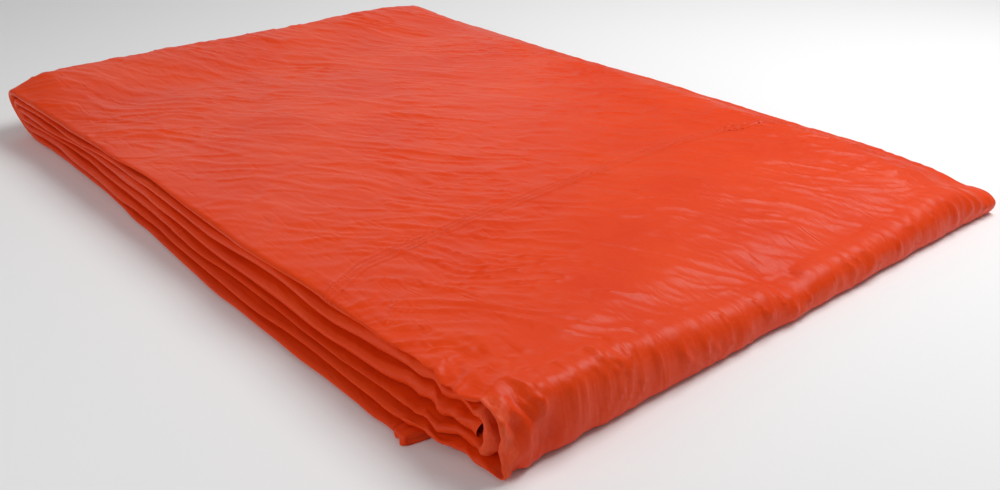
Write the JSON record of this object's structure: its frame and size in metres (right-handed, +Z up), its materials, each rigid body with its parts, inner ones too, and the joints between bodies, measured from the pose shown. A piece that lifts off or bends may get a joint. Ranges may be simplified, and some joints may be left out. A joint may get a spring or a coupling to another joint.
{
  "type": "padded ground quilt",
  "caption": "Long padded ground quilt with a coated woven cover, folded in half and flat-rolled into a rectangular pack; its first turn unrolls.",
  "frame": {"origin": "middle of the pack's footprint, on the floor it lies on", "axes": "+X along the pack's length towards the roll that hangs over the outer end, -Y towards the half-fold, +Y towards the hemmed long edges, +Z up"},
  "size_m": [1.224, 0.941, 0.0875],
  "materials": {
    "cover": "satin",
    "lining": "satin",
    "padding": "matte",
    "hem": "satin",
    "seam": "satin"
  },
  "bodies": {
    "end_leaf": {"cover_end_leaf": "cover", "padding_end_leaf": "padding", "lining_end_leaf": "lining", "outer_end_hem": "hem", "outer_side_hem_end_leaf": "hem", "inner_side_hem_end_leaf": "hem"},
    "rolled_pack": {"cover_top_leaf": "cover", "cover_panel_2": "cover", "cover_panel_3": "cover", "cover_panel_4": "cover", "padding_top_leaf": "padding", "padding_panel_2": "padding", "padding_panel_3": "padding", "padding_panel_4": "padding", "lining_top_leaf": "lining", "lining_panel_2": "lining", "lining_panel_3": "lining", "lining_panel_4": "lining", "cross_seam_1": "seam", "cross_seam_2": "seam", "cross_seam_3": "seam", "inner_end_hem": "hem", "outer_side_hem_pack": "hem", "inner_side_hem_pack": "hem"}
  },
  "joints": [
    {"name": "first_turn_unroll", "type": "hinge", "parent": "end_leaf", "child": "rolled_pack", "pos_m": [-0.62367, 0, 0.04375], "axis": [0, -1, 0], "range_deg": [0, 180]}
  ]
}
